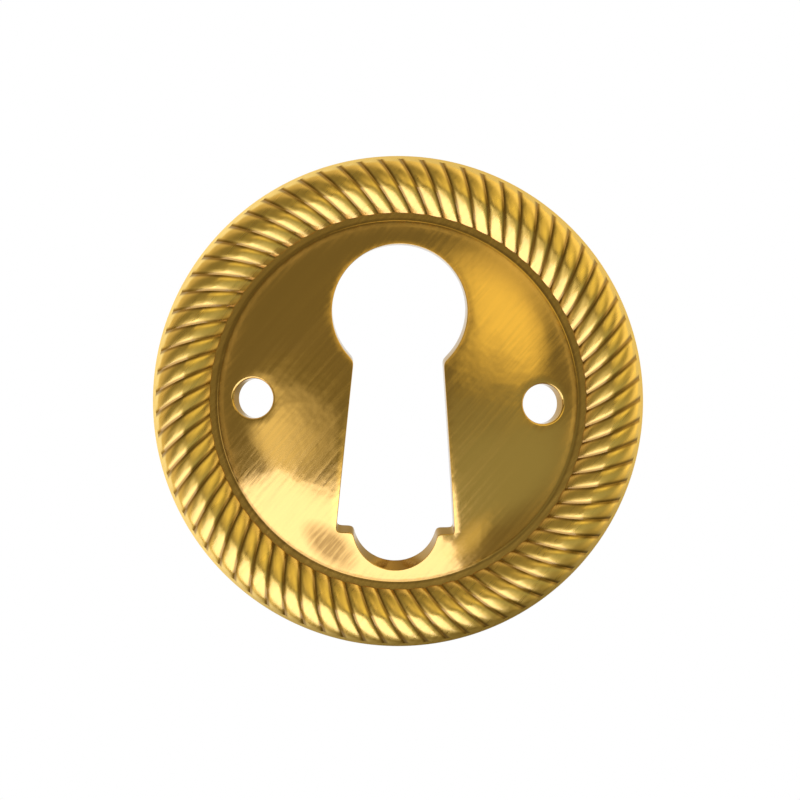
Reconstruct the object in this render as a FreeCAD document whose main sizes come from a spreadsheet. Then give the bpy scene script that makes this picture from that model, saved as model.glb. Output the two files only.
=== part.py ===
import FreeCAD, Part
import math
import os

import Sketcher
from FreeCAD import Vector

# Round keyhole escutcheon, pressed from one sheet of brass.
# The front looks towards -Y and the keyhole's head is up, towards +Z.
# The back seats on the drawer front in the plane Y = 0, and the plate's axis is the Y axis.
# A height is counted from that seat plane towards the viewer, so it lies at Y = -height.

SIZES = [
    # name, value or formula, meaning (lengths in mm, angles in degrees)
    ("plate_diameter", 32.0, "outside of the plain rim"),
    ("sheet_thickness", 0.9, "brass sheet, the same everywhere but in the rope"),
    ("rim_width", 0.22, "plain rim outside the rope"),
    ("rim_bevel", 0.08, "bevel of the rim's front edge"),
    ("rope_width", 3.4, "rope, between the feet of its valleys"),
    ("groove_width", 0.63, "flat bottom between the rope and the dome"),
    ("wall_width", 0.45, "steep foot of the dome"),
    ("wall_slope", 35.0, "slope of that foot"),
    ("shoulder_width", 1.2, "dome's shoulder"),
    ("shoulder_slope", 27.0, "slope of the shoulder"),
    ("flank_width", 2.3, "dome's flank, between the shoulder and the middle"),
    ("flank_slope", 15.0, "slope of the flank"),
    ("crown_radius", 46.0, "front radius of the dome's middle"),
    ("rope_outer_radius", "=plate_diameter / 2 - rim_width", "outer foot of the rope's valleys"),
    ("rope_inner_radius", "=rope_outer_radius - rope_width", "inner foot of the rope's valleys"),
    ("groove_radius", "=rope_inner_radius - groove_width", "from the axis to the groove"),
    ("wall_reach", "=groove_radius - wall_width", "from the axis to the wall"),
    ("flank_reach", "=wall_reach - shoulder_width", "from the axis to the shoulder"),
    ("crown_reach", "=flank_reach - flank_width", "from the axis to the flank"),
    ("rope_height", 1.72, "highest part of the rope's valleys"),
    ("core_inset", 0.6, "foot of the sheet's rise into the rope, from the rope's feet"),
    ("core_taper", 0.4, "each side of that rise, from its foot to its top"),
    ("core_cover", 0.34, "rope over the top of that rise"),
    ("core_height", "=rope_height - core_cover", "top of that rise"),
    ("hollow_inset", 0.65, "hollow behind the rope, from the rope's feet"),
    ("hollow_taper", 0.5, "each side of that hollow, from the seat to its floor"),
    ("rope_wall", 0.95, "brass between that floor and the rope's valleys"),
    ("hollow_depth", "=rope_height - rope_wall", "depth of that hollow"),
    ("strand_count", 73, "strands of the rope"),
    ("strand_rise", 0.22, "crest of a strand above its valleys"),
    ("strand_root", 0.6, "depth of the strands' roots under their valleys"),
    ("strand_sink", 3.5, "angle by which the strands' ends sink into the sheet"),
    ("strand_twist", 0.083, "turn about the plate for each degree round the rope"),
    ("strand_tip", 0.35, "height of a strand at its tips, as a share of its crest"),
    ("keyhole_head_radius", 4.36, "round head of the keyhole"),
    ("keyhole_head_margin", 1.16, "dome between the head and the wall"),
    (
        "keyhole_head_height",
        "=wall_reach - keyhole_head_margin - keyhole_head_radius",
        "centre of the head above the plate's centre",
    ),
    ("keyhole_neck_width", 5.8, "slot where it leaves the head"),
    ("keyhole_foot_width", 7.75, "slot at its lower corners"),
    ("keyhole_step", 1.125, "width of the level step at a lower corner"),
    ("keyhole_round_width", "=keyhole_foot_width - 2 * keyhole_step", "chord of the round end"),
    ("keyhole_end_margin", 0.14, "sheet between the round end and the groove"),
    ("keyhole_reach", "=groove_radius - keyhole_end_margin", "round end below the centre"),
    ("keyhole_round_depth", 2.86, "height of the round end"),
    ("keyhole_foot_depth", "=keyhole_reach - keyhole_round_depth", "steps below the centre"),
    ("keyhole_reach_lean", 42.0, "lean of the round end's wall, towards the plate's centre"),
    ("keyhole_level", 2.0, "height at which the keyhole has the sizes above"),
    ("keyhole_cone_length", 28.0, "distance behind that level where its other walls would meet"),
    ("keyhole_rounding", 0.4, "rounding of the corners that stand into the keyhole"),
    ("punch_front", 5.0, "front end of the keyhole's cut, clear of the dome"),
    ("punch_back", 0.5, "how far the cut runs behind the seat plane"),
    ("pin_hole_radius", 1.3, "holes for the fixing pins"),
    ("pin_hole_inset", 1.85, "dome between a pin hole's centre and the wall"),
    ("pin_hole_spacing", "=2 * (wall_reach - pin_hole_inset)", "between the pin holes' centres"),
]

STRAND_SECTIONS = 6  # arcs across a strand, from its inner tip to its outer tip
ROOT_SECTIONS = 4  # arcs along a strand's root, which the sheet hides
SEWING_GAP = 1e-4  # widest gap that the sewing closes between strands
ON_PLANE = 1e-4  # how near an edge lies to a plane that it is on

# A sketch counts a geometry's points from 1, and its own two axes down from -1
START, END, CENTRE = range(1, 4)
H_AXIS, V_AXIS = range(-1, -3, -1)
ORIGIN = (H_AXIS, START)

# The half section is drawn above the axis, so that the revolved faces close at the keyhole's head
SEAM_TO_TOP = FreeCAD.Rotation(Vector(0, 1, 0), -90)

doc = FreeCAD.newDocument("keyhole_escutcheon")
sheet = doc.addObject("Spreadsheet::Sheet", "Sizes")
for row, (name, value, meaning) in enumerate(SIZES, start=1):
    sheet.set(f"A{row}", name)
    sheet.set(f"B{row}", str(value))
    sheet.set(f"C{row}", meaning)
    sheet.setAlias(f"B{row}", name)
doc.recompute()


def size(name):
    """Value of one size of the sheet."""
    return float(sheet.get(name))


def tangent(degrees):
    """Rise over run of a slope."""
    return math.tan(math.radians(degrees))


def section_point(radius, height):
    """Point of the half section, which is drawn in the XY plane."""
    return Vector(radius, -height, 0)


def arc(centre, radius, start, end):
    """Sketch arc, counter-clockwise between two angles in degrees."""
    circle = Part.Circle(centre, Vector(0, 0, 1), radius)
    return Part.ArcOfCircle(circle, math.radians(start), math.radians(end))


def chain(points):
    """Sketch lines from point to point."""
    return [Part.LineSegment(first, last) for first, last in zip(points, points[1:])]


def new_sketch(body, name, role, offset=None):
    """Sketch on one of the body's origin planes, moved along its normal by an expression."""
    sketch = body.newObject("Sketcher::SketchObject", name)
    plane = next(f for f in body.Origin.OriginFeatures if f.Role == role)
    sketch.AttachmentSupport = [(plane, "")]
    sketch.MapMode = "FlatFace"
    if offset:
        sketch.setExpression("AttachmentOffset.Base.z", offset)
    return sketch


def hold(sketch, kind, *where):
    """Add a constraint that has no dimension."""
    sketch.addConstraint(Sketcher.Constraint(kind, *where))


def bind(sketch, kind, *where, to, value):
    """Add a dimension that follows an expression of the sheet's sizes."""
    index = sketch.addConstraint(Sketcher.Constraint(kind, *where, value))
    sketch.setExpression(f"Constraints[{index}]", to)


def edge_names(shape, wanted):
    """Names of the edges that a test picks, for a fillet or a chamfer."""
    return [f"Edge{i}" for i, edge in enumerate(shape.Edges, start=1) if wanted(edge)]


# The rope's valleys follow an arc over its width, from the groove to the rim

ROPE_HALF_WIDTH = (size("rope_outer_radius") - size("rope_inner_radius")) / 2
ROPE_RISE = size("rope_height") - size("sheet_thickness")
VALLEY_RADIUS = (ROPE_HALF_WIDTH**2 + ROPE_RISE**2) / (2 * ROPE_RISE)
ROPE_MIDDLE = (size("rope_outer_radius") + size("rope_inner_radius")) / 2
ROPE_AXIS = section_point(ROPE_MIDDLE, size("rope_height") - VALLEY_RADIUS)
STRAND_COVER = math.degrees(math.asin(ROPE_HALF_WIDTH / VALLEY_RADIUS)) + size("strand_sink")


def back_corner(corner, inner_slope, outer_slope):
    """Corner of the back, behind a corner between two slopes of the front."""
    middle = math.radians(inner_slope + outer_slope) / 2
    half_turn = math.radians(outer_slope - inner_slope) / 2
    reach = size("sheet_thickness") / math.cos(half_turn)
    return corner + Vector(-math.sin(middle), math.cos(middle), 0) * reach


def draw_section(sketch):
    """Half section of the sheet: the front outwards from the axis, then the back inwards."""
    thickness = size("sheet_thickness")
    rim_radius = size("plate_diameter") / 2
    rise = thickness
    groove = section_point(size("groove_radius"), rise)
    rise += tangent(size("wall_slope")) * (size("groove_radius") - size("wall_reach"))
    wall = section_point(size("wall_reach"), rise)
    rise += tangent(size("shoulder_slope")) * (size("wall_reach") - size("flank_reach"))
    shoulder = section_point(size("flank_reach"), rise)
    rise += tangent(size("flank_slope")) * (size("flank_reach") - size("crown_reach"))
    flank = section_point(size("crown_reach"), rise)
    crown_turn = math.asin(size("crown_reach") / size("crown_radius"))
    crown = Vector(0, flank.y + size("crown_radius") * math.cos(crown_turn), 0)
    crown_end = -90 + math.degrees(crown_turn)
    crown_back_radius = size("crown_radius") - thickness
    core_foot = ROPE_HALF_WIDTH - size("core_inset")
    core_top = core_foot - size("core_taper")
    hollow = ROPE_HALF_WIDTH - size("hollow_inset")
    hollow_floor = hollow - size("hollow_taper")

    outline = [
        flank,
        shoulder,
        wall,
        groove,
        section_point(ROPE_MIDDLE - core_foot, thickness),
        section_point(ROPE_MIDDLE - core_top, size("core_height")),
        section_point(ROPE_MIDDLE + core_top, size("core_height")),
        section_point(ROPE_MIDDLE + core_foot, thickness),
        section_point(rim_radius, thickness),
        section_point(rim_radius, 0),
        section_point(ROPE_MIDDLE + hollow, 0),
        section_point(ROPE_MIDDLE + hollow_floor, size("hollow_depth")),
        section_point(ROPE_MIDDLE - hollow_floor, size("hollow_depth")),
        section_point(ROPE_MIDDLE - hollow, 0),
        back_corner(groove, 0, size("wall_slope")),
        back_corner(wall, size("shoulder_slope"), size("wall_slope")),
        back_corner(shoulder, size("flank_slope"), size("shoulder_slope")),
        back_corner(flank, math.degrees(crown_turn), size("flank_slope")),
    ]
    axis = [crown - Vector(0, crown_back_radius, 0), crown - Vector(0, size("crown_radius"), 0)]
    geometry = [
        arc(crown, size("crown_radius"), -90, crown_end),
        *chain(outline),
        arc(crown, crown_back_radius, -90, crown_end),
        *chain(axis),
    ]
    sketch.addGeometry(geometry, False)
    crown, flank, shoulder, wall, groove, core_inner, core, core_outer, rim = range(9)
    edge, seat, hollow_outer, hollow_floor, hollow_inner, groove_back = range(9, 15)
    wall_back, shoulder_back, flank_back, crown_back, axis = range(15, 20)

    for i in range(crown, flank_back):
        hold(sketch, "Coincident", i, END, i + 1, START)
    hold(sketch, "Coincident", flank_back, END, crown_back, END)
    hold(sketch, "Coincident", crown_back, START, axis, START)
    hold(sketch, "Coincident", axis, END, crown, START)
    hold(sketch, "Coincident", crown, CENTRE, crown_back, CENTRE)
    for i, end in [(crown, CENTRE), (crown, START), (crown_back, START)]:
        hold(sketch, "PointOnObject", i, end, V_AXIS)
    for i in (seat, groove_back):
        hold(sketch, "PointOnObject", i, START, H_AXIS)
    for i in (groove, core, rim, seat, hollow_floor, groove_back):
        hold(sketch, "Horizontal", i)
    hold(sketch, "Vertical", edge)
    for front_line, back_line in [
        (flank, flank_back),
        (shoulder, shoulder_back),
        (wall, wall_back),
    ]:
        hold(sketch, "Parallel", front_line, back_line)
        bind(
            sketch,
            "Distance",
            back_line,
            START,
            front_line,
            to="Sizes.sheet_thickness",
            value=thickness,
        )

    bind(sketch, "Radius", crown, to="Sizes.crown_radius", value=size("crown_radius"))
    bind(
        sketch,
        "Radius",
        crown_back,
        to="Sizes.crown_radius - Sizes.sheet_thickness",
        value=crown_back_radius,
    )
    for i, name in [(flank, "flank"), (shoulder, "shoulder"), (wall, "wall")]:
        slope = math.radians(size(f"{name}_slope"))
        bind(sketch, "Angle", i, to=f"Sizes.{name}_slope * 1 deg", value=slope)
    rope_start = "Sizes.rope_inner_radius"
    rope_end = "Sizes.rope_outer_radius"
    for i, expression in [
        (flank, "Sizes.crown_reach"),
        (shoulder, "Sizes.flank_reach"),
        (wall, "Sizes.wall_reach"),
        (groove, "Sizes.groove_radius"),
        (core_inner, f"{rope_start} + Sizes.core_inset"),
        (core, f"{rope_start} + Sizes.core_inset + Sizes.core_taper"),
        (core_outer, f"{rope_end} - Sizes.core_inset - Sizes.core_taper"),
        (rim, f"{rope_end} - Sizes.core_inset"),
        (edge, "Sizes.plate_diameter / 2"),
        (hollow_outer, f"{rope_end} - Sizes.hollow_inset"),
        (hollow_floor, f"{rope_end} - Sizes.hollow_inset - Sizes.hollow_taper"),
        (hollow_inner, f"{rope_start} + Sizes.hollow_inset + Sizes.hollow_taper"),
        (groove_back, f"{rope_start} + Sizes.hollow_inset"),
    ]:
        bind(sketch, "DistanceX", *ORIGIN, i, START, to=expression, value=geometry[i].StartPoint.x)
    for i, expression in [
        (groove, "Sizes.sheet_thickness"),
        (core, "Sizes.core_height"),
        (rim, "Sizes.sheet_thickness"),
        (hollow_floor, "Sizes.hollow_depth"),
    ]:
        bind(sketch, "DistanceY", i, START, *ORIGIN, to=expression, value=-geometry[i].StartPoint.y)


def draw_keyhole(sketch, height, plane):
    """Keyhole's outline in the plane at a height, which is given as a number and an expression."""
    above = height - size("keyhole_level")
    above_level = f"({plane} - Sizes.keyhole_level)"
    scale = 1 + above / size("keyhole_cone_length")
    scaled = f"(1 + {above_level} / Sizes.keyhole_cone_length) * Sizes."
    head_radius = size("keyhole_head_radius") * scale
    head_height = size("keyhole_head_height") * scale
    neck = size("keyhole_neck_width") / 2 * scale
    corner = size("keyhole_foot_width") / 2 * scale
    depth = size("keyhole_foot_depth") * scale
    chord = size("keyhole_round_width") / 2 * scale
    fall = size("keyhole_reach") + above * tangent(size("keyhole_reach_lean")) - depth
    round_radius = (chord**2 + fall**2) / (2 * fall)
    round_turn = math.degrees(math.asin((fall - round_radius) / round_radius))
    neck_turn = math.degrees(math.acos(neck / head_radius))
    neck_height = head_height - math.sqrt(head_radius**2 - neck**2)

    left_side = [
        Vector(-neck, neck_height, 0),
        Vector(-corner, -depth, 0),
        Vector(-chord, -depth, 0),
    ]
    right_side = [Vector(-p.x, p.y, 0) for p in reversed(left_side)]
    round_centre = Vector(0, round_radius - fall - depth, 0)
    geometry = [
        arc(Vector(0, head_height, 0), head_radius, -neck_turn, 180 + neck_turn),
        *chain(left_side),
        arc(round_centre, round_radius, 180 - round_turn, 360 + round_turn),
        *chain(right_side),
    ]
    sketch.addGeometry(geometry, False)
    head, left, left_step, end, right_step, right = range(6)
    for i in range(6):
        hold(sketch, "Coincident", i, END, (i + 1) % 6, START)
    for i in (head, end):
        hold(sketch, "PointOnObject", i, CENTRE, V_AXIS)
    for i in (left_step, right_step):
        hold(sketch, "Horizontal", i)
    hold(sketch, "Horizontal", head, START, head, END)
    hold(sketch, "Symmetric", left, END, right, START, V_AXIS)
    for kind, where, expression, value in [
        ("Radius", (head,), "keyhole_head_radius", head_radius),
        ("DistanceY", (*ORIGIN, head, CENTRE), "keyhole_head_height", head_height),
        ("DistanceX", (*ORIGIN, right, END), "keyhole_neck_width / 2", neck),
        ("DistanceX", (*ORIGIN, right, START), "keyhole_foot_width / 2", corner),
        ("DistanceY", (right, START, *ORIGIN), "keyhole_foot_depth", depth),
        ("DistanceX", (*ORIGIN, end, END), "keyhole_round_width / 2", chord),
    ]:
        bind(sketch, kind, *where, to=scaled + expression, value=value)
    half_chord = f"({scaled}keyhole_round_width / 2)"
    fallen = (
        f"(Sizes.keyhole_reach + {above_level} * tan(Sizes.keyhole_reach_lean * 1 deg)"
        f" - {scaled}keyhole_foot_depth)"
    )
    bind(
        sketch,
        "Radius",
        end,
        to=f"({half_chord} * {half_chord} + {fallen} * {fallen}) / (2 * {fallen})",
        value=round_radius,
    )


def draw_pin_holes(sketch):
    """Two round holes, left and right of the plate's centre."""
    half = size("pin_hole_spacing") / 2
    for x in (-half, half):
        sketch.addGeometry(Part.Circle(Vector(x, 0, 0), Vector(0, 0, 1), size("pin_hole_radius")))
    left, right = range(2)
    hold(sketch, "Symmetric", left, CENTRE, right, CENTRE, *ORIGIN)
    hold(sketch, "PointOnObject", right, CENTRE, H_AXIS)
    hold(sketch, "Equal", left, right)
    bind(sketch, "Radius", right, to="Sizes.pin_hole_radius", value=size("pin_hole_radius"))
    spacing = "Sizes.pin_hole_spacing / 2"
    bind(sketch, "DistanceX", *ORIGIN, right, CENTRE, to=spacing, value=half)


def make_pressed_sheet():
    """The domed sheet with its core for the rope, its keyhole and its pin holes."""
    body = doc.addObject("PartDesign::Body", "PressedSheet")
    section = new_sketch(body, "SheetSection", "XY_Plane")
    section.AttachmentOffset = FreeCAD.Placement(Vector(), SEAM_TO_TOP)
    draw_section(section)
    pressed = body.newObject("PartDesign::Revolution", "Pressed")
    pressed.Profile = section
    pressed.ReferenceAxis = (section, ["V_Axis"])
    pressed.Angle = 360

    keyhole_front = new_sketch(body, "KeyholeFront", "XZ_Plane", "Sizes.punch_front")
    draw_keyhole(keyhole_front, size("punch_front"), "Sizes.punch_front")
    keyhole_back = new_sketch(body, "KeyholeBack", "XZ_Plane", "-Sizes.punch_back")
    draw_keyhole(keyhole_back, -size("punch_back"), "(-Sizes.punch_back)")
    keyhole = body.newObject("PartDesign::SubtractiveLoft", "Keyhole")
    keyhole.Profile = keyhole_front
    keyhole.Sections = [keyhole_back]
    keyhole.Ruled = True

    centres = new_sketch(body, "PinHoleOutlines", "XZ_Plane")
    draw_pin_holes(centres)
    pin_holes = body.newObject("PartDesign::Pocket", "PinHoles")
    pin_holes.Profile = centres
    pin_holes.Type = "ThroughAll"
    pin_holes.Midplane = True
    doc.recompute()

    inside_foot = (size("keyhole_neck_width") + size("keyhole_foot_width")) / 4

    def stands_in_keyhole(edge):
        box = edge.BoundBox
        through_sheet = box.YLength > box.XLength + box.ZLength
        return through_sheet and box.XMin > -inside_foot and box.XMax < inside_foot

    rounding = body.newObject("PartDesign::Fillet", "KeyholeRounding")
    rounding.Base = (pin_holes, edge_names(pin_holes.Shape, stands_in_keyhole))
    rounding.setExpression("Radius", "Sizes.keyhole_rounding")
    doc.recompute()

    def is_rim_edge(edge):
        box = edge.BoundBox
        on_front = abs(box.YMin + size("sheet_thickness")) + abs(box.YLength) < ON_PLANE
        return on_front and abs(box.XMax - size("plate_diameter") / 2) < ON_PLANE

    bevel = body.newObject("PartDesign::Chamfer", "RimBevel")
    bevel.Base = (rounding, edge_names(rounding.Shape, is_rim_edge))
    bevel.setExpression("Size", "Sizes.rim_bevel")
    body.Tip = bevel
    return body


def rope_point(angle, across, lift):
    """Point above the valleys, at an angle round the rope and a share of a strand's width."""
    turn = math.radians(size("strand_twist") * angle + 360 / size("strand_count") * across)
    radius = ROPE_AXIS.x + (VALLEY_RADIUS + lift) * math.sin(math.radians(angle))
    y = ROPE_AXIS.y - (VALLEY_RADIUS + lift) * math.cos(math.radians(angle))
    return Vector(radius * math.cos(turn), y, radius * math.sin(turn))


def strand_arc(angle, valley, crest):
    """Arc across one strand, from valley to valley over its crest."""
    left, right = [rope_point(angle, across, valley) for across in (-0.5, 0.5)]
    return Part.Arc(left, rope_point(angle, 0, crest), right).toShape()


def make_strand():
    """Bands of one strand: over the top from tip to tip, then back along its root."""
    arcs = []
    for i in range(STRAND_SECTIONS):
        share = math.sin(math.pi / 2 * (2 * i / (STRAND_SECTIONS - 1) - 1))
        swell = size("strand_tip") + (1 - size("strand_tip")) * math.sqrt(1 - share**4)
        arcs.append(strand_arc(STRAND_COVER * share, 0, size("strand_rise") * swell))
    for i in range(ROOT_SECTIONS):
        share = 1 - 2 * i / (ROOT_SECTIONS - 1)
        root = -size("strand_root")
        arcs.append(strand_arc(STRAND_COVER * share, root, root))
    bands = [Part.makeRuledSurface(a, b) for a, b in zip(arcs, arcs[1:] + arcs[:1])]
    return Part.makeCompound(bands)


def make_rope():
    """Ring of strands, sewn valley to valley into one solid that roots in the sheet."""
    strand = make_strand()
    strands = []
    for i in range(int(size("strand_count"))):
        copy = strand.copy()
        copy.rotate(Vector(), Vector(0, -1, 0), 360 / size("strand_count") * i)
        strands.append(copy)
    skin = Part.makeCompound(strands)
    skin.sewShape(SEWING_GAP)
    solid = Part.Solid(skin.Shells[0])
    if solid.Volume < 0:
        solid.reverse()
    rope = doc.addObject("Part::Feature", "Rope")
    rope.Shape = solid
    return rope


pressed_sheet = make_pressed_sheet()
doc.recompute()
escutcheon = doc.addObject("Part::Fuse", "Escutcheon")
escutcheon.Label = "escutcheon_plate"
escutcheon.Base = pressed_sheet
escutcheon.Tool = make_rope()
doc.recompute()

for part in doc.Objects:
    if "Invalid" in part.State or "Error" in part.State:
        raise RuntimeError(f"{part.Name} failed: {part.State}")
    if part.isDerivedFrom("Sketcher::SketchObject") and not part.FullyConstrained:
        raise RuntimeError(f"{part.Name} is not fully constrained")
shape = escutcheon.Shape
if shape.isNull() or not shape.isValid() or len(shape.Solids) != 1:
    raise RuntimeError("the escutcheon is not one valid solid")

os.makedirs("parts", exist_ok=True)
shape.exportStep(f"parts/{escutcheon.Label}.step")
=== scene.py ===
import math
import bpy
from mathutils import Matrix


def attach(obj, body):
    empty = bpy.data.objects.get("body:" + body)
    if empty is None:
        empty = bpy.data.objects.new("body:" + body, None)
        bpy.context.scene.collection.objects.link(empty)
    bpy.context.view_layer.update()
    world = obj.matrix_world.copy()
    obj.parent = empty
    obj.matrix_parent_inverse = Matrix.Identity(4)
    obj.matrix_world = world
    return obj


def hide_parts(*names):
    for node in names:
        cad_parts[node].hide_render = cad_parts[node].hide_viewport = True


bl_info = {
    "name": "Rope-edged keyhole escutcheon",
    "version": (1, 0, 0),
    "blender": (4, 5, 0),
    "location": "3D View > Sidebar > Escutcheon",
    "description": "Pressed brass keyhole plate with a rope border, and its studio",
    "category": "Object",
}

import bmesh
import bpy
from bpy.props import FloatProperty, FloatVectorProperty, IntProperty, PointerProperty
from mathutils import Vector
from mathutils.geometry import delaunay_2d_cdt

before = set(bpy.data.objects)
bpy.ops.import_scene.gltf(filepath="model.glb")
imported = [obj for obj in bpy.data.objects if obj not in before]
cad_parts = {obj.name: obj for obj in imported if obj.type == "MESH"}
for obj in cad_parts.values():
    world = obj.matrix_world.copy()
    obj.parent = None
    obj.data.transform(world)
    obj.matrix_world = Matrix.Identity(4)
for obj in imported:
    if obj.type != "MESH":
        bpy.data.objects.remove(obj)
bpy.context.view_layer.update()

# Lengths in this file are millimetres until a mesh or a lamp is made
MM = 0.001
NODE = "escutcheon_plate"
MATH = "ShaderNodeMath"

# Point attribute that tells how deep a point lies in a valley of the rope or in a hole
VALLEY = "valley"

# Radii on the front and its slope there in degrees: the solid's cones, blended as a press does
DOME_SLOPES = [
    (0.0, 0.0),
    (7.5, 9.9),
    (8.9, 13.9),
    (10.2, 21.4),
    (11.0, 28.6),
    (11.4, 31.5),
    (11.74, 31.5),
    (11.76, 2.0),
    (12.5, 0.0),
]

# Radial step at which the front's height is summed
PROFILE_STEP = 0.02

# Radii between which the dome's polish turns into the rope's duller finish, and the dome's brass into the
# rope's paler brass, which paints the brighter light on the rope
FINISH_CHANGE = (12.2, 12.8)

# Polishing lines run up to the right: their turn in degrees, and cells in a millimetre along, through
# and across them, so that they are 8 mm long and 0.2 mm apart
LINE_TURN = 50
LINE_CELLS = (0.12, 1, 5.0)
LINE_DEPTH = 0.0025

# The sheet's waves are about 3 mm wide
WAVE_CELLS = 0.35
WAVE_DEPTH = 0.04

# Painted shade: a brown line at the dome's foot, where it meets the groove, and a painted dark reflection
# beside the keyhole's round end
FOOT_RADIUS = 11.8
DARK_REFLECTION_MIDDLE = (-4.25, 0, -9.5)
DARK_REFLECTION_TURN = 38
DARK_REFLECTION_REACH = (1.9, 1, 0.95)

# How much painted shade darkens the punched walls of the holes, on the scale of the valleys
WALL_PAINTED_SHADE = 0.8

# Colours of the dim room in front of the plate and of the foot of its walls
ROOM = (0.2, 0.165, 0.085)
WALL_FOOT = (0.15, 0.12, 0.05)

# Walls beside the plate: Y where each begins and is whole, and X and colour of its left and right
SIDE_WALLS = [
    ((-0.48, -0.28), (-0.2, (0.7, 0.54, 0.3)), (0.6, (1.25, 1.0, 0.5))),
    ((0.05, 0.25), (-0.6, (1.15, 1.1, 1.0)), (0.1, (0.78, 0.7, 0.5))),
]

# Camera beside and above the plate's axis in millimetres, and its roll in degrees
CAMERA_SIDE = 0.13
CAMERA_RAISE = 0.07
CAMERA_ROLL = -1.1

# Soft glows in front of the plate: direction's X and Z, reach along both, and colour
FRONT_GLOWS = [
    ((0.46, 0.5), (0.27, 0.29), (0.8, 0.64, 0.26)),
    ((0.4, 0.31), (0.23, 0.24), (1.12, 0.9, 0.32)),
    ((-0.42, -0.12), (0.18, 0.14), (1.0, 0.88, 0.6)),
    ((0.45, -0.26), (0.5, 0.27), (0.34, 0.33, 0.2)),
    ((0.0, 0.42), (0.11, 0.2), (1.1, 0.85, 0.35)),
    ((0.33, -0.62), (0.08, 0.18), (0.7, 0.6, 0.3)),
    ((-0.04, -0.36), (0.09, 0.2), (0.9, 0.75, 0.35)),
]


def linear(code):
    """Linear RGB of an sRGB hex colour."""
    parts = [int(code[i : i + 2], 16) / 255 for i in (1, 3, 5)]
    return tuple(c / 12.92 if c <= 0.04045 else ((c + 0.055) / 1.055) ** 2.4 for c in parts)


class PlateSizes(bpy.types.PropertyGroup):
    """Sizes of the pressed sheet, in millimetres"""

    radius: FloatProperty(name="Radius", description="Outside of the rim", default=16.0, min=1.0)
    thickness: FloatProperty(name="Thickness", description="Brass sheet", default=0.9, min=0.1)
    join_radius: FloatProperty(
        name="Join", description="Circle where the holed middle meets the turned edge", default=11.35
    )
    join_points: IntProperty(name="Join points", description="Points round that circle", default=292)
    grid_step: FloatProperty(name="Grid step", description="Spacing of the middle's points", default=0.3)
    rim_width: FloatProperty(name="Rim width", description="Plain bevelled rim", default=0.22)
    rim_fall: FloatProperty(name="Rim fall", description="Depth of the rim's bevel", default=0.3)
    hollow_radius: FloatProperty(name="Hollow", description="Middle of the back's hollow", default=14.08)
    hollow_width: FloatProperty(name="Hollow width", description="Width at the seat", default=2.1)
    hollow_depth: FloatProperty(name="Hollow depth", description="Depth from the seat", default=0.77)


class KeyholeSizes(bpy.types.PropertyGroup):
    """Sizes of the keyhole where it leaves the front, in millimetres"""

    head_radius: FloatProperty(name="Head radius", description="Round head", default=4.41)
    head_height: FloatProperty(name="Head height", description="Centre above the plate's", default=5.84)
    neck_width: FloatProperty(name="Neck width", description="Slot at the head", default=5.85)
    foot_width: FloatProperty(name="Foot width", description="Slot at its lower corners", default=7.75)
    foot_depth: FloatProperty(name="Foot depth", description="Corners below the centre", default=8.62)
    round_width: FloatProperty(name="Round end width", description="Chord of the round end", default=5.5)
    reach: FloatProperty(name="Reach", description="Lowest point below the centre", default=11.05)
    rounding: FloatProperty(name="Corner blur", description="Softness of the corners", default=0.2)
    edge_radius: FloatProperty(name="Edge radius", description="Edge drawn in by the punch", default=0.05)
    lean: FloatVectorProperty(
        name="Lean", description="Shift of the hole through the sheet", size=2, default=(-0.06, 0.28)
    )
    outline_step: FloatProperty(name="Outline step", description="Spacing of its points", default=0.1)


class PinHoleSizes(bpy.types.PropertyGroup):
    """Sizes of the two holes for pins, in millimetres"""

    radius: FloatProperty(name="Radius", description="Hole", default=1.3)
    spacing: FloatProperty(name="Spacing", description="Between the holes' centres", default=18.9)
    edge_radius: FloatProperty(name="Edge radius", description="Edge drawn in by the punch", default=0.15)
    points: IntProperty(name="Points", description="Points round a hole", default=72)


class RopeSizes(bpy.types.PropertyGroup):
    """Sizes of the rope border, in millimetres and degrees"""

    count: IntProperty(name="Strands", description="Strands round the plate", default=73)
    middle: FloatProperty(name="Middle radius", description="Ring on which the rope lies", default=14.08)
    height: FloatProperty(name="Height", description="Valleys above the seat at the ridge", default=1.75)
    inner_radius: FloatProperty(name="Inner radius", description="Section towards the dome", default=3.57)
    inner_slope: FloatProperty(name="Inner slope", description="At the dome's side", default=34.0)
    outer_radius: FloatProperty(name="Outer radius", description="Section towards the rim", default=2.51)
    outer_slope: FloatProperty(name="Outer slope", description="At the rim's side", default=49.0)
    ridge: FloatProperty(name="Ridge", description="Slope on each side of the crest", default=4.0)
    lean: FloatProperty(name="Lean", description="Degrees of turn in a millimetre outwards", default=2.4)
    rise: FloatProperty(name="Rise", description="Strand above its valleys", default=0.115)
    root: FloatProperty(name="Root", description="Depth of the hidden underside", default=0.55)
    roundness: FloatProperty(name="Roundness", description="1 is a roof, more is broader", default=2.4)
    across: IntProperty(name="Cells across", description="Mesh cells over a strand", default=16)
    along: IntProperty(name="Cells along", description="Mesh cells round the section", default=40)


class Finish(bpy.types.PropertyGroup):
    """Colours and gloss of lacquered brass"""

    brass: FloatVectorProperty(
        name="Brass", description="Clean yellow brass", subtype="COLOR", size=3, default=linear("#E7C069")
    )
    # Paler brass painted on the rope, which stands in for the brighter light on it
    painted_lit_rope_brass: FloatVectorProperty(
        name="Rope brass",
        description="Brighter brass of the rope",
        subtype="COLOR",
        size=3,
        default=linear("#F7D672"),
    )
    # Brown of the valleys, which is patina and painted shade there, and painted shade on the holes' walls, at
    # the dome's foot and in the dark reflection by the keyhole
    tarnish_and_shade: FloatVectorProperty(
        name="Tarnish", description="Brown in the valleys", subtype="COLOR", size=3, default=linear("#997627")
    )
    roughness: FloatProperty(name="Roughness", description="Of the polished dome", default=0.14)
    rope_roughness: FloatProperty(name="Rope's share", description="Added on the rope", default=0.16)


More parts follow.
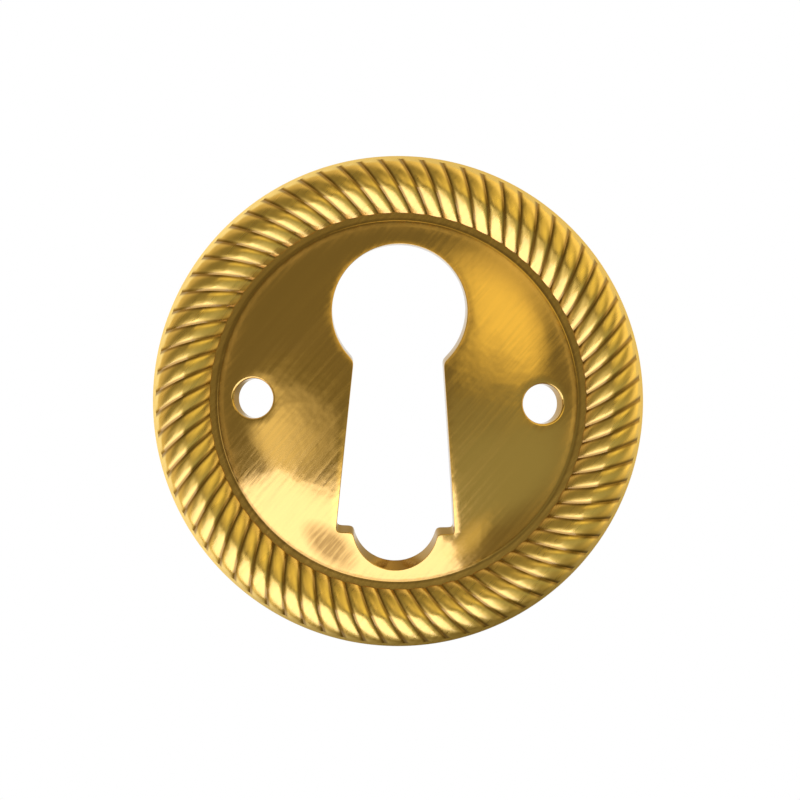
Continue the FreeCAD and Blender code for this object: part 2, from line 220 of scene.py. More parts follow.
class Studio(bpy.types.PropertyGroup):
    """Camera and stage, in millimetres"""

    distance: FloatProperty(name="Distance", description="Camera to plate", default=420.0)
    view_width: FloatProperty(name="View width", description="Width of the frame", default=52.3)
    floor_depth: FloatProperty(name="Floor depth", description="Below the plate's centre", default=150.0)
    floor_radius: FloatProperty(name="Floor radius", description="Round floor", default=150.0)


def add_node(tree, kind, inputs=(), **settings):
    """Add a node with its settings, and link or fill its inputs by name or number."""
    node = tree.nodes.new(kind)
    for name, value in settings.items():
        setattr(node, name, value)
    for key, value in dict(inputs).items():
        if isinstance(value, bpy.types.Node):
            value = value.outputs[0]
        if isinstance(value, bpy.types.NodeSocket):
            tree.links.new(value, node.inputs[key])
        else:
            node.inputs[key].default_value = value
    return node


def slope_at(radius):
    """Slope of the front in radians, linear between the profile's points."""
    for (r0, s0), (r1, s1) in zip(DOME_SLOPES, DOME_SLOPES[1:]):
        if radius < r1:
            return math.radians(s0 + (s1 - s0) * (radius - r0) / (r1 - r0))
    return 0.0


def height_table(thickness):
    """Front height at each profile step, summed inwards from the flat groove."""
    steps = round(DOME_SLOPES[-1][0] / PROFILE_STEP)
    heights = [thickness] * (steps + 1)
    for i in range(steps, 0, -1):
        middle = (i - 0.5) * PROFILE_STEP
        heights[i - 1] = heights[i] + math.tan(slope_at(middle)) * PROFILE_STEP
    return heights


def sheet_point(x, z, depth, heights):
    """Point of the sheet behind its front's point at x and z, at a depth square to it."""
    radius = math.hypot(x, z)
    place = min(radius / PROFILE_STEP, len(heights) - 1.001)
    low = int(place)
    height = heights[low] + (heights[low + 1] - heights[low]) * (place - low)
    slope = slope_at(radius)
    outward = -math.sin(slope) * depth / max(radius, PROFILE_STEP)
    return Vector((x + x * outward, depth * math.cos(slope) - height, z + z * outward))


def arc_points(centre, radius, start, end, step):
    """Points of an arc between two angles in degrees, in the plane of the front."""
    count = max(2, math.ceil(abs(math.radians(end - start)) * radius / step))
    angles = [math.radians(start + (end - start) * i / count) for i in range(count + 1)]
    return [Vector((centre[0] + radius * math.cos(a), centre[1] + radius * math.sin(a))) for a in angles]


def even_loop(points, step):
    """Closed loop through the points with an even spacing near a step."""
    sides = list(zip(points, points[1:] + points[:1]))
    total = sum((b - a).length for a, b in sides)
    count = round(total / step)
    spacing = total / count
    loop = []
    travelled = 0.0
    for a, b in sides:
        length = (b - a).length
        while len(loop) < count and len(loop) * spacing <= travelled + length:
            loop.append(a.lerp(b, (len(loop) * spacing - travelled) / max(length, 1e-9)))
        travelled += length
    return loop


def blurred_loop(loop, reach, step):
    """Loop whose corners are softened over a reach."""
    width = math.ceil(3 * reach / step)
    weights = [math.exp(-0.5 * (i * step / reach) ** 2) for i in range(-width, width + 1)]
    count = len(loop)
    softened = []
    for i in range(count):
        near = [loop[(i + k) % count] * w for k, w in zip(range(-width, width + 1), weights)]
        softened.append(sum(near, Vector((0, 0))) / sum(weights))
    return softened


def keyhole_outline(sizes):
    """Closed outline of the keyhole, counter-clockwise seen from the front."""
    step = sizes.outline_step
    neck = sizes.neck_width / 2
    foot = sizes.foot_width / 2
    chord = sizes.round_width / 2
    fall = sizes.reach - sizes.foot_depth
    end_radius = (chord**2 + fall**2) / (2 * fall)
    end_turn = math.degrees(math.asin((fall - end_radius) / end_radius))
    neck_turn = math.degrees(math.acos(neck / sizes.head_radius))
    head = arc_points(
        (0, sizes.head_height), sizes.head_radius, -neck_turn, 180 + neck_turn, step
    )
    end = arc_points(
        (0, end_radius - sizes.reach), end_radius, 180 - end_turn, 360 + end_turn, step
    )
    left = [Vector((-foot, -sizes.foot_depth))]
    right = [Vector((foot, -sizes.foot_depth))]
    loop = even_loop(head + left + end + right, step)
    return blurred_loop(loop, sizes.rounding, step)


def pin_outline(x, sizes):
    """Closed outline of one pin hole, counter-clockwise seen from the front."""
    angles = [2 * math.pi * i / sizes.points for i in range(sizes.points)]
    return [Vector((x + sizes.radius * math.cos(a), sizes.radius * math.sin(a))) for a in angles]


def grown(loop, distance):
    """Loop moved outwards by a distance."""
    moved = []
    for before, point, after in zip(loop[-1:] + loop[:-1], loop, loop[1:] + loop[:1]):
        along = (after - before).normalized()
        moved.append(point + Vector((along.y, -along.x)) * distance)
    return moved


def inside(point, loop):
    """Whether a point lies inside a closed loop."""
    crossings = 0
    for a, b in zip(loop, loop[1:] + loop[:1]):
        if (a.y > point.y) != (b.y > point.y):
            crossings += point.x < a.x + (point.y - a.y) / (b.y - a.y) * (b.x - a.x)
    return crossings % 2 == 1


def middle_grid(sizes, holes):
    """Points on rings about the axis that keep clear of the holes."""
    clearance = sizes.grid_step * 1.3
    blocked = [grown(hole, clearance) for hole in holes]
    rings = round(sizes.join_radius / sizes.grid_step)
    points = [Vector((0, 0))]
    for ring in range(1, rings):
        radius = sizes.join_radius * ring / rings
        count = max(6, round(2 * math.pi * radius / sizes.grid_step))
        for i in range(count):
            angle = 2 * math.pi * (i + 0.5 * (ring % 2)) / count
            points.append(Vector((radius * math.cos(angle), radius * math.sin(angle))))
    return [p for p in points if not any(inside(p, loop) for loop in blocked)]


def strip(mesh, first, second):
    """Faces between two closed rows of vertices."""
    for a, b, c, d in zip(first, first[1:] + first[:1], second[1:] + second[:1], second):
        mesh.faces.new((a, b, c, d))


def add_rows(mesh, rows):
    """Vertices of several rows of points, in metres."""
    return [[mesh.verts.new(point * MM) for point in row] for row in rows]


def add_hole(mesh, loop, edge_radius, lean, front, back, sizes, heights):
    """Drawn edge and leaning wall of one hole, from the front's row of vertices to the back's."""
    steps = 5
    burr = 0.05

    # Growth of the hole's outline and depth behind the front, row by row
    places = []
    for i in range(1, steps + 1):
        angle = math.pi / 2 * i / steps
        places.append((edge_radius * (1 - math.sin(angle)), edge_radius * (1 - math.cos(angle))))
    places.append((0, sizes.thickness - burr))
    places.append((burr, sizes.thickness))
    rows = []
    for growth, depth in places:
        shifted = [p + lean * depth / sizes.thickness for p in grown(loop, growth)]
        rows.append([sheet_point(p.x, p.y, depth, heights) for p in shifted])
    rows = [front] + add_rows(mesh, rows) + [back]
    # The walls are marked for painted shade
    valley = mesh.verts.layers.float[VALLEY]
    for row in rows[steps:-1]:
        for vertex in row:
            vertex[valley] = WALL_PAINTED_SHADE
    for first, second in zip(rows, rows[1:]):
        strip(mesh, second, first)


def edge_profile(sizes, heights):
    """Radius and height of the turned edge, from the front's join round the rim to the back's."""
    row_step = 0.05
    row_count = round((DOME_SLOPES[-1][0] - sizes.join_radius) / row_step)
    rows = [sizes.join_radius + row_step * i for i in range(1, row_count + 1)]
    front = [sheet_point(radius, 0, 0, heights) for radius in rows]
    back = [sheet_point(radius, 0, sizes.thickness, heights) for radius in reversed(rows)]
    profile = [(p.x, -p.y) for p in front]
    profile.append((sizes.hollow_radius, sizes.thickness))

    # The rim's bevel has rows near both of its ends, which keep them crisp
    for share in (0.0, 0.1, 0.9, 1.0):
        radius = sizes.radius - sizes.rim_width * (1 - share)
        profile.append((radius, sizes.thickness - sizes.rim_fall * share))
    broken_edge = 0.06
    profile += [(sizes.radius, broken_edge), (sizes.radius - broken_edge, 0.0)]

    # The hollow behind the rope is a little fuller than a cosine
    steps = 12
    fullness = 0.7
    for i in range(steps + 1):
        place = 1 - 2 * i / steps
        depth = sizes.hollow_depth * math.cos(math.pi / 2 * place) ** fullness if 0 < i < steps else 0.0
        profile.append((sizes.hollow_radius + place * sizes.hollow_width / 2, depth))
    return profile + [(p.x, -p.y) for p in back]


def sheet_mesh(plate, keyhole, pins):
    """Mesh of the pressed sheet: its middle with the holes, and its turned edge."""
    heights = height_table(plate.thickness)
    key_loop = keyhole_outline(keyhole)
    pin_loops = [pin_outline(side * pins.spacing / 2, pins) for side in (-1, 1)]
    loops = [(key_loop, keyhole.edge_radius, Vector(keyhole.lean))]
    loops += [(loop, pins.edge_radius, Vector((0, 0))) for loop in pin_loops]
    holes = [grown(loop, edge) for loop, edge, _ in loops]
    turns = [2 * math.pi * i / plate.join_points for i in range(plate.join_points)]
    join = [Vector((math.cos(t), math.sin(t))) * plate.join_radius for t in turns]

    points = []
    edges = []
    rows = []
    for loop in [join] + holes:
        row = list(range(len(points), len(points) + len(loop)))
        rows.append(row)
        edges += list(zip(row, row[1:] + row[:1]))
        points += loop
    points += middle_grid(plate, holes)
    tolerance = 1e-7
    placed, _, faces, origins, _, _ = delaunay_2d_cdt(points, edges, [], 0, tolerance)
    number = {origin: i for i, found in enumerate(origins) for origin in found}

    mesh = bmesh.new()
    mesh.verts.layers.float.new(VALLEY)
    fronts = [mesh.verts.new(sheet_point(p.x, p.y, 0, heights) * MM) for p in placed]
    behind = [point.copy() for point in placed]
    for (_, _, lean), row in zip(loops, rows[1:]):
        for i in row:
            behind[number[i]] += lean
    backs = [mesh.verts.new(sheet_point(p.x, p.y, plate.thickness, heights) * MM) for p in behind]
    for face in faces:
        centre = sum((placed[i] for i in face), Vector((0, 0))) / len(face)
        if not any(inside(centre, hole) for hole in holes):
            mesh.faces.new([fronts[i] for i in face])
            mesh.faces.new([backs[i] for i in reversed(face)])
    for (loop, edge_radius, lean), row in zip(loops, rows[1:]):
        front = [fronts[number[i]] for i in row]
        back = [backs[number[i]] for i in row]
        add_hole(mesh, loop, edge_radius, lean, front, back, plate, heights)
    turned = [
        [Vector((r * math.cos(t), -height, r * math.sin(t))) for t in turns]
        for r, height in edge_profile(plate, heights)
    ]
    front = [fronts[number[i]] for i in rows[0]]
    back = [backs[number[i]] for i in rows[0]]
    turned = [front] + add_rows(mesh, turned) + [back]
    for first, second in zip(turned, turned[1:]):
        strip(mesh, first, second)
    loose = [vertex for vertex in mesh.verts if not vertex.link_faces]
    bmesh.ops.delete(mesh, geom=loose, context="VERTS")
    bmesh.ops.recalc_face_normals(mesh, faces=mesh.faces)
    return mesh


def rope_tree(sizes, material):
    """Node tree that joins the strands of the rope to the sheet it is given."""
    tree = bpy.data.node_groups.new("RopeBorder", "GeometryNodeTree")
    interface = tree.interface
    interface.new_socket("Sheet", in_out="INPUT", socket_type="NodeSocketGeometry")
    values = {
        "Strands": ("NodeSocketInt", sizes.count),
        "Middle": ("NodeSocketFloat", sizes.middle * MM),
        "Height": ("NodeSocketFloat", sizes.height * MM),
        "Ridge": ("NodeSocketFloat", math.radians(sizes.ridge)),
        "Inner radius": ("NodeSocketFloat", sizes.inner_radius * MM),
        "Inner slope": ("NodeSocketFloat", math.radians(sizes.inner_slope)),
        "Outer radius": ("NodeSocketFloat", sizes.outer_radius * MM),
        "Outer slope": ("NodeSocketFloat", math.radians(sizes.outer_slope)),
        "Lean": ("NodeSocketFloat", math.radians(sizes.lean) / MM),
        "Rise": ("NodeSocketFloat", sizes.rise * MM),
        "Root": ("NodeSocketFloat", sizes.root * MM),
        "Roundness": ("NodeSocketFloat", sizes.roundness),
        "Across": ("NodeSocketInt", sizes.across + 1),
        "Along": ("NodeSocketInt", sizes.along + 1),
    }
    for name, (kind, value) in values.items():
        interface.new_socket(name, in_out="INPUT", socket_type=kind).default_value = value
    interface.new_socket("Plate", in_out="OUTPUT", socket_type="NodeSocketGeometry")
    group = add_node(tree, "NodeGroupInput").outputs

    # One strand as a grid: across from -0.5 to 0.5, along from 0 to 1 round its closed section
    grid = add_node(
        tree,
        "GeometryNodeMeshGrid",
        {"Size X": 1.0, "Size Y": 1.0, "Vertices X": group["Across"], "Vertices Y": group["Along"]},
    )
    place = add_node(tree, "ShaderNodeSeparateXYZ", {0: add_node(tree, "GeometryNodeInputPosition")})
    across = place.outputs["X"]
    along = add_node(tree, MATH, {0: place.outputs["Y"], 1: 0.5}, operation="ADD")

    # The top takes the first part of the way, from -1 at the dome to 1 at the rim, and the root the rest
    top = 0.8
    rest = 1 - top
    margin = 0.001
    outward = add_node(tree, MATH, {0: along, 1: 2 / top, 2: -1}, operation="MULTIPLY_ADD")
    inward = add_node(tree, MATH, {0: along, 1: -2 / rest, 2: 1 + 2 * top / rest}, operation="MULTIPLY_ADD")
    share = add_node(tree, MATH, {0: outward, 1: inward}, operation="MINIMUM")
    past_top = add_node(tree, MATH, {0: along, 1: top + margin}, operation="GREATER_THAN")
    before_end = add_node(tree, MATH, {0: along, 1: 1 - margin}, operation="LESS_THAN")
    is_root = add_node(tree, MATH, {0: past_top, 1: before_end}, operation="MULTIPLY")

    # A strand is broad on top, falls to a narrow valley on each side, and is lower at both ends
    inner = add_node(
        tree,
        "ShaderNodeMapRange",
        {"Value": share, "From Min": -1, "From Max": -0.7, "To Min": 0.8, "To Max": 1},
        interpolation_type="SMOOTHSTEP",
    )
    outer = add_node(
        tree,
        "ShaderNodeMapRange",
        {"Value": share, "From Min": 0.8, "From Max": 1, "To Min": 1, "To Max": 0.5},
        interpolation_type="SMOOTHSTEP",
    )
    swell = add_node(tree, MATH, {0: inner, 1: outer}, operation="MULTIPLY")
    doubled = add_node(tree, MATH, {0: across, 1: 2}, operation="MULTIPLY")
    aside = add_node(tree, MATH, {0: doubled}, operation="ABSOLUTE")
    valley = add_node(tree, MATH, {0: aside, 1: group["Roundness"]}, operation="POWER")
    bulge = add_node(tree, MATH, {0: 1, 1: valley}, operation="SUBTRACT")
    lift = add_node(tree, MATH, {0: swell, 1: bulge}, operation="MULTIPLY")
    lift = add_node(tree, MATH, {0: lift, 1: group["Rise"]}, operation="MULTIPLY")
    is_top = add_node(tree, MATH, {0: 1, 1: is_root}, operation="SUBTRACT")
    lift = add_node(tree, MATH, {0: lift, 1: is_top}, operation="MULTIPLY")

    # The section is an arc to each side of its ridge: the slope there, the arc's radius and the angle
    is_outer = add_node(tree, MATH, {0: share, 1: 0}, operation="GREATER_THAN")
    slope = add_node(
        tree,
        "ShaderNodeMix",
        {0: is_outer, 2: group["Inner slope"], 3: group["Outer slope"]},
        data_type="FLOAT",
    )
    bend = add_node(
        tree,
        "ShaderNodeMix",
        {0: is_outer, 2: group["Inner radius"], 3: group["Outer radius"]},
        data_type="FLOAT",
    )
    side = add_node(tree, MATH, {0: is_outer, 1: 2, 2: -1}, operation="MULTIPLY_ADD")
    ridge = add_node(tree, MATH, {0: side, 1: group["Ridge"]}, operation="MULTIPLY")
    past_ridge = add_node(tree, MATH, {0: slope, 1: group["Ridge"]}, operation="SUBTRACT")
    angle = add_node(tree, MATH, {0: share, 1: past_ridge, 2: ridge}, operation="MULTIPLY_ADD")
    reach = add_node(tree, MATH, {0: bend, 1: lift}, operation="ADD")

    # Distance outwards from the ridge, and so from the plate's axis
    angle_sine = add_node(tree, MATH, {0: angle}, operation="SINE")
    ridge_sine = add_node(tree, MATH, {0: ridge}, operation="SINE")
    offset = add_node(tree, MATH, {0: reach, 1: angle_sine}, operation="MULTIPLY")
    shift = add_node(tree, MATH, {0: bend, 1: ridge_sine}, operation="MULTIPLY")
    offset = add_node(tree, MATH, {0: offset, 1: shift}, operation="SUBTRACT")
    radius = add_node(tree, MATH, {0: offset, 1: group["Middle"]}, operation="ADD")

    # Depth behind the seat plane, which is negative on the front
    angle_cosine = add_node(tree, MATH, {0: angle}, operation="COSINE")
    ridge_cosine = add_node(tree, MATH, {0: ridge}, operation="COSINE")
    crest = add_node(tree, MATH, {0: group["Height"], 1: -1}, operation="MULTIPLY")
    centre = add_node(tree, MATH, {0: bend, 1: ridge_cosine, 2: crest}, operation="MULTIPLY_ADD")
    forward = add_node(tree, MATH, {0: reach, 1: angle_cosine}, operation="MULTIPLY")
    depth = add_node(tree, MATH, {0: centre, 1: forward}, operation="SUBTRACT")
    depth = add_node(tree, MATH, {0: is_root, 1: group["Root"], 2: depth}, operation="MULTIPLY_ADD")

    # Turn about the axis, which grows outwards because the strand leans
    pitch = add_node(tree, MATH, {0: 2 * math.pi, 1: group["Strands"]}, operation="DIVIDE")
    lean = add_node(tree, MATH, {0: offset, 1: group["Lean"]}, operation="MULTIPLY")
    turn = add_node(tree, MATH, {0: across, 1: pitch, 2: lean}, operation="MULTIPLY_ADD")
    turn_cosine = add_node(tree, MATH, {0: turn}, operation="COSINE")
    turn_sine = add_node(tree, MATH, {0: turn}, operation="SINE")
    x = add_node(tree, MATH, {0: radius, 1: turn_cosine}, operation="MULTIPLY")
    z = add_node(tree, MATH, {0: radius, 1: turn_sine}, operation="MULTIPLY")
    spot = add_node(tree, "ShaderNodeCombineXYZ", {"X": x, "Y": depth, "Z": z})
    marked = add_node(
        tree,
        "GeometryNodeStoreNamedAttribute",
        {"Geometry": grid, "Name": VALLEY, "Value": valley},
        data_type="FLOAT",
        domain="POINT",
    )
    strand = add_node(tree, "GeometryNodeSetPosition", {"Geometry": marked, "Position": spot})

    # Turned copies all round the plate, joined to the sheet
    points = add_node(tree, "GeometryNodePoints", {"Count": group["Strands"]})
    number = add_node(tree, "GeometryNodeInputIndex")
    turned = add_node(tree, MATH, {0: number, 1: pitch}, operation="MULTIPLY")
    rotation = add_node(tree, "ShaderNodeCombineXYZ", {"Y": turned})
    copies = add_node(
        tree,
        "GeometryNodeInstanceOnPoints",
        {"Points": points, "Instance": strand, "Rotation": rotation},
    )
    rope = add_node(tree, "GeometryNodeRealizeInstances", {"Geometry": copies})
    rope = add_node(tree, "GeometryNodeMergeByDistance", {"Geometry": rope, "Distance": 0.001 * MM})
    joined = add_node(tree, "GeometryNodeJoinGeometry")
    tree.links.new(group["Sheet"], joined.inputs[0])
    tree.links.new(rope.outputs[0], joined.inputs[0])
    whole = add_node(tree, "GeometryNodeRealizeInstances", {"Geometry": joined})
    smooth = add_node(tree, "GeometryNodeSetShadeSmooth", {"Geometry": whole, "Shade Smooth": True})
    dressed = add_node(tree, "GeometryNodeSetMaterial", {"Geometry": smooth, "Material": material})
    add_node(tree, "NodeGroupOutput", {"Plate": dressed})
    return tree


def brass_material(finish):
    """Lacquered brass: warm yellow metal under a clear coat that pales its highlights."""
    material = bpy.data.materials.new("LacqueredBrass")
    material.use_nodes = True
    tree = material.node_tree
    tree.nodes.clear()

    # Place on the plate in millimetres, and distance from its axis
    coordinates = add_node(tree, "ShaderNodeTexCoord").outputs
    place = add_node(
        tree,
        "ShaderNodeVectorMath",
        {0: coordinates["Object"], 1: (1 / MM, 1 / MM, 1 / MM)},
        operation="MULTIPLY",
    )
    flat = add_node(tree, "ShaderNodeVectorMath", {0: place, 1: (1, 0, 1)}, operation="MULTIPLY")
    radius = add_node(tree, "ShaderNodeVectorMath", {0: flat}, operation="LENGTH").outputs["Value"]
    dome_end, rope_start = FINISH_CHANGE
    on_rope = add_node(
        tree, "ShaderNodeMapRange", {"Value": radius, "From Min": dome_end, "From Max": rope_start}
    )

    # The polishing wheel's lines are finer than this, and are drawn as coarse as they need to show
    turned = add_node(
        tree, "ShaderNodeMapping", {"Vector": place, "Rotation": (0, math.radians(LINE_TURN), 0)}
    )
    drawn = add_node(tree, "ShaderNodeVectorMath", {0: turned, 1: LINE_CELLS}, operation="MULTIPLY")
    lines = add_node(tree, "ShaderNodeTexNoise", {"Vector": drawn, "Scale": 1.0, "Detail": 4.0})
    lines = lines.outputs["Fac"]

    # The press leaves the sheet a little wavy, so its mirror images waver
    waves = add_node(tree, "ShaderNodeTexNoise", {"Vector": place, "Scale": WAVE_CELLS, "Detail": 3.0})
    waves = waves.outputs["Fac"]
    wavy = add_node(tree, "ShaderNodeBump", {"Height": waves, "Distance": WAVE_DEPTH * MM, "Strength": 1.0})
    normal = add_node(
        tree,
        "ShaderNodeBump",
        {"Height": lines, "Distance": LINE_DEPTH * MM, "Strength": 1.0, "Normal": wavy},
    )

    # Brown in the rope's valleys is patina together with painted shade, and on the holes' walls it is painted
    # shade
    valley = add_node(tree, "ShaderNodeAttribute", attribute_name=VALLEY).outputs["Fac"]
    in_valley = add_node(
        tree,
        "ShaderNodeMapRange",
        {"Value": valley, "From Min": 0.3, "From Max": 0.65, "To Min": 0.0, "To Max": 0.95},
    )

    # On the front painted shade also darkens the dome's foot, and a streaky painted dark reflection lies by
    # the keyhole's round end
    aside = add_node(
        tree,
        "ShaderNodeMapping",
        {
            "Vector": flat,
            "Location": DARK_REFLECTION_MIDDLE,
            "Rotation": (0, math.radians(DARK_REFLECTION_TURN), 0),
            "Scale": DARK_REFLECTION_REACH,
        },
        vector_type="TEXTURE",
    )
    aside = add_node(tree, "ShaderNodeVectorMath", {0: aside}, operation="LENGTH").outputs["Value"]
    dark_reflection = add_node(
        tree,
        "ShaderNodeMapRange",
        {"Value": aside, "From Min": 1.3, "From Max": 0.6, "To Min": 0.0, "To Max": 1.0},
    )
    streaky = add_node(
        tree,
        "ShaderNodeMapRange",
        {"Value": lines, "From Min": 0.35, "From Max": 0.6, "To Min": 0.5, "To Max": 1.0},
    )
    dark_reflection = add_node(tree, MATH, {0: dark_reflection, 1: streaky}, operation="MULTIPLY")
    from_foot = add_node(tree, MATH, {0: radius, 1: FOOT_RADIUS}, operation="SUBTRACT")
    from_foot = add_node(tree, MATH, {0: from_foot}, operation="ABSOLUTE")
    at_foot = add_node(
        tree,
        "ShaderNodeMapRange",
        {"Value": from_foot, "From Min": 0.2, "From Max": 0.08, "To Min": 0.0, "To Max": 0.6},
    )
    facing = add_node(tree, "ShaderNodeSeparateXYZ", {0: coordinates["Normal"]}).outputs["Y"]
    on_front = add_node(tree, MATH, {0: facing, 1: 0}, operation="LESS_THAN")
    painted_shade = add_node(tree, MATH, {0: at_foot, 1: dark_reflection}, operation="MAXIMUM")
    painted_shade = add_node(tree, MATH, {0: on_front, 1: painted_shade}, operation="MULTIPLY")
    tarnish_and_shade = add_node(tree, MATH, {0: in_valley, 1: painted_shade}, operation="MAXIMUM")
    # The rope takes the paler brass that paints the brighter light on it
    brass = add_node(
        tree,
        "ShaderNodeMix",
        {0: on_rope, 6: (*finish.brass, 1), 7: (*finish.painted_lit_rope_brass, 1)},
        data_type="RGBA",
    ).outputs[2]
    colour = add_node(
        tree,
        "ShaderNodeMix",
        {0: tarnish_and_shade, 6: brass, 7: (*finish.tarnish_and_shade, 1)},
        data_type="RGBA",
    )

    # The rope's pressed surface is duller than the polished dome, and the lines are a little worn
    worn = add_node(
        tree,
        "ShaderNodeMapRange",
        {"Value": lines, "From Min": 0.35, "From Max": 0.7, "To Min": -0.03, "To Max": 0.09},
    )
    roughness = add_node(
        tree, MATH, {0: on_rope, 1: finish.rope_roughness, 2: finish.roughness}, operation="MULTIPLY_ADD"
    )
    roughness = add_node(tree, MATH, {0: roughness, 1: worn}, operation="ADD")
    shader = add_node(
        tree,
        "ShaderNodeBsdfPrincipled",
        {
            "Base Color": colour.outputs[2],
            "Metallic": 1.0,
            "Roughness": roughness,
            "Normal": normal,
            "Coat Weight": 1.0,
            "Coat Roughness": 0.12,
            "Coat Normal": normal,
        },
    )
    add_node(tree, "ShaderNodeOutputMaterial", {"Surface": shader})
    return material


class OBJECT_OT_escutcheon_plate(bpy.types.Operator):
    """Make the pressed sheet and its rope border"""

    bl_idname = "object.escutcheon_plate"
    bl_label = "Escutcheon plate"

    def execute(self, context):
        scene = context.scene
        sheet = bpy.data.meshes.new("PressedSheet")
        mesh = sheet_mesh(scene.escutcheon_plate, scene.escutcheon_keyhole, scene.escutcheon_pins)
        mesh.to_mesh(sheet)
        mesh.free()
        plate = bpy.data.objects.new("plate", sheet)
        scene.collection.objects.link(plate)
        material = brass_material(scene.escutcheon_finish)
        rope = plate.modifiers.new("Rope", "NODES")
        rope.node_group = rope_tree(scene.escutcheon_rope, material)
        context.view_layer.update()
        graph = context.evaluated_depsgraph_get()
        made = plate.evaluated_get(graph)
        whole = bpy.data.meshes.new_from_object(made, preserve_all_data_layers=True, depsgraph=graph)
        plate.modifiers.clear()
        if not whole.polygons:
            raise RuntimeError("the plate has no faces")
        whole.set_sharp_from_angle(angle=math.radians(25))
        plate.data = whole
        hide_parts(NODE)
        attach(plate, "root")
        return {"FINISHED"}


def area_lamp(name, place, target, width, height, strength, colour):
    """Soft rectangular lamp in millimetres that shines from a place to a target."""
    light = bpy.data.lights.new(name, "AREA")
    light.shape = "RECTANGLE"
    light.size = width * MM
    light.size_y = height * MM
    light.energy = strength * math.pi * light.size * light.size_y
    light.color = colour
    lamp = bpy.data.objects.new(name, light)
    lamp.location = Vector(place) * MM
    aim = Vector(target) - Vector(place)
    lamp.rotation_euler = aim.to_track_quat("-Z", "Y").to_euler()
    bpy.context.scene.collection.objects.link(lamp)


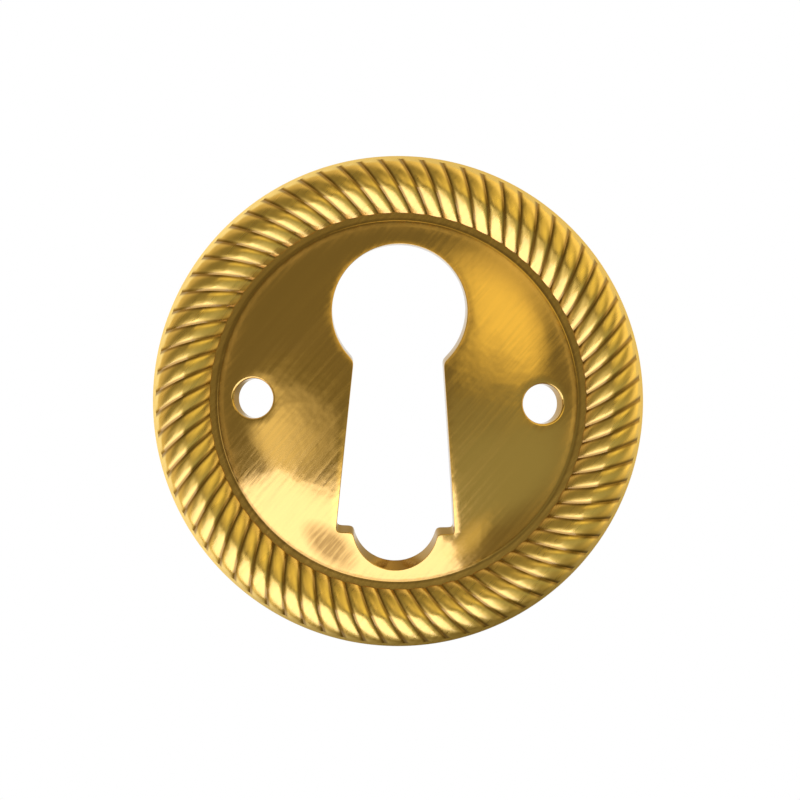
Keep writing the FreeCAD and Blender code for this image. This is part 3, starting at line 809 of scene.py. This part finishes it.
class OBJECT_OT_escutcheon_studio(bpy.types.Operator):
    """Make the floor, the lamps, the world and the camera"""

    bl_idname = "object.escutcheon_studio"
    bl_label = "Studio"

    def execute(self, context):
        scene = context.scene
        studio = scene.escutcheon_studio
        scene.view_settings.view_transform = "Standard"
        self.add_world(scene)
        self.add_floor(scene, studio)
        self.add_lamps()
        self.add_camera(scene, studio)
        return {"FINISHED"}

    def add_world(self, scene):
        """White behind, pale walls beside, and a dim warm room in front with soft glows."""
        world = bpy.data.worlds.new("Room")
        world.use_nodes = True
        tree = world.node_tree
        tree.nodes.clear()
        aim = add_node(tree, "ShaderNodeTexCoord").outputs["Generated"]
        aim = add_node(tree, "ShaderNodeSeparateXYZ", {0: aim}).outputs
        place = add_node(tree, "ShaderNodeCombineXYZ", {0: aim["X"], 1: aim["Z"]})
        seen = (*ROOM, 1)
        for centre, reach, colour in FRONT_GLOWS:
            offset = add_node(
                tree, "ShaderNodeVectorMath", {0: place, 1: (*centre, 0)}, operation="SUBTRACT"
            )
            offset = add_node(
                tree, "ShaderNodeVectorMath", {0: offset, 1: (*reach, 1)}, operation="DIVIDE"
            )
            away = add_node(tree, "ShaderNodeVectorMath", {0: offset}, operation="LENGTH")
            glow = add_node(
                tree,
                "ShaderNodeMapRange",
                {"Value": away.outputs["Value"], "From Min": 1.5, "From Max": 0.4},
                interpolation_type="SMOOTHSTEP",
            )
            seen = add_node(tree, "ShaderNodeMix", {0: glow, 6: seen, 7: (*colour, 1)}, data_type="RGBA")
            seen = seen.outputs[2]

        # The walls darken downwards, and most at the lower right
        height = add_node(tree, MATH, {0: aim["X"], 1: -0.3, 2: aim["Z"]}, operation="MULTIPLY_ADD")
        low = add_node(tree, "ShaderNodeMapRange", {"Value": height, "From Min": -0.4, "From Max": -1.0})
        for (begin, whole), (left, left_colour), (right, right_colour) in SIDE_WALLS:
            across = add_node(
                tree, "ShaderNodeMapRange", {"Value": aim["X"], "From Min": left, "From Max": right}
            )
            wall = add_node(
                tree,
                "ShaderNodeMix",
                {0: across, 6: (*left_colour, 1), 7: (*right_colour, 1)},
                data_type="RGBA",
            ).outputs[2]
            wall = add_node(tree, "ShaderNodeMix", {0: low, 6: wall, 7: (*WALL_FOOT, 1)}, data_type="RGBA")
            share = add_node(
                tree,
                "ShaderNodeMapRange",
                {"Value": aim["Y"], "From Min": begin, "From Max": whole},
                interpolation_type="SMOOTHSTEP",
            )
            seen = add_node(
                tree, "ShaderNodeMix", {0: share, 6: seen, 7: wall.outputs[2]}, data_type="RGBA"
            ).outputs[2]
        behind = add_node(
            tree,
            "ShaderNodeMapRange",
            {"Value": aim["Y"], "From Min": 0.8, "From Max": 0.95},
            interpolation_type="SMOOTHSTEP",
        )
        seen = add_node(tree, "ShaderNodeMix", {0: behind, 6: seen, 7: (1, 1, 1, 1)}, data_type="RGBA")
        shine = add_node(tree, "ShaderNodeBackground", {"Color": seen.outputs[2], "Strength": 1.0})
        white = add_node(tree, "ShaderNodeBackground", {"Color": (1, 1, 1, 1), "Strength": 1.0})
        path = add_node(tree, "ShaderNodeLightPath")
        mix = add_node(
            tree, "ShaderNodeMixShader", {0: path.outputs["Is Camera Ray"], 1: shine, 2: white}
        )
        add_node(tree, "ShaderNodeOutputWorld", {"Surface": mix})
        scene.world = world

    def add_floor(self, scene, studio):
        """Round floor below the plate, in matt pale paint that shows no gloss."""
        mesh = bmesh.new()
        bmesh.ops.create_circle(
            mesh, cap_ends=True, segments=96, radius=studio.floor_radius * MM
        )
        data = bpy.data.meshes.new("Floor")
        mesh.to_mesh(data)
        mesh.free()
        floor = bpy.data.objects.new("floor", data)
        floor.location.z = -studio.floor_depth * MM
        scene.collection.objects.link(floor)
        material = bpy.data.materials.new("MattPalePaint")
        material.use_nodes = True
        shader = material.node_tree.nodes["Principled BSDF"]
        shader.inputs["Base Color"].default_value = (*linear("#F3F3F3"), 1)
        shader.inputs["Roughness"].default_value = 0.9
        data.materials.append(material)
        floor.visible_glossy = False

    def add_lamps(self):
        """A bright white sheet that lies low in front of the plate."""
        area_lamp(
            "LowSheet",
            place=(-68, -180, -100),
            target=(-68, -180, 0),
            width=213,
            height=290,
            strength=1.6,
            colour=(1, 0.97, 1.2),
        )

    def add_camera(self, scene, studio):
        """Long lens, square to the plate."""
        data = bpy.data.cameras.new("Camera")
        data.sensor_width = 36.0
        data.lens = data.sensor_width * studio.distance / studio.view_width
        data.clip_start = 0.01
        camera = bpy.data.objects.new("Camera", data)
        camera.location = Vector((CAMERA_SIDE, -studio.distance, CAMERA_RAISE)) * MM
        camera.rotation_euler = (math.radians(90), math.radians(CAMERA_ROLL), 0)
        scene.collection.objects.link(camera)
        scene.camera = camera


class VIEW3D_PT_escutcheon(bpy.types.Panel):
    """Sizes and steps of the escutcheon"""

    bl_label = "Escutcheon"
    bl_space_type = "VIEW_3D"
    bl_region_type = "UI"
    bl_category = "Escutcheon"

    def draw(self, context):
        layout = self.layout
        for operator in OPERATORS:
            layout.operator(operator.bl_idname)
        for name in GROUPS:
            box = layout.box()
            box.label(text=name.replace("_", " ").title())
            group = getattr(context.scene, name)
            for key in group.bl_rna.properties.keys():
                if key not in ("rna_type", "name"):
                    box.prop(group, key)


GROUPS = {
    "escutcheon_plate": PlateSizes,
    "escutcheon_keyhole": KeyholeSizes,
    "escutcheon_pins": PinHoleSizes,
    "escutcheon_rope": RopeSizes,
    "escutcheon_finish": Finish,
    "escutcheon_studio": Studio,
}
OPERATORS = (OBJECT_OT_escutcheon_plate, OBJECT_OT_escutcheon_studio)


def register():
    for group in GROUPS.values():
        bpy.utils.register_class(group)
    for operator in OPERATORS:
        bpy.utils.register_class(operator)
    bpy.utils.register_class(VIEW3D_PT_escutcheon)
    for name, group in GROUPS.items():
        setattr(bpy.types.Scene, name, PointerProperty(type=group))


def unregister():
    for name in GROUPS:
        delattr(bpy.types.Scene, name)
    bpy.utils.unregister_class(VIEW3D_PT_escutcheon)
    for operator in reversed(OPERATORS):
        bpy.utils.unregister_class(operator)
    for group in reversed(GROUPS.values()):
        bpy.utils.unregister_class(group)


def main():
    """Make the plate and its studio."""
    register()
    bpy.ops.object.escutcheon_plate()
    bpy.ops.object.escutcheon_studio()


if __name__ == "__main__":
    main()
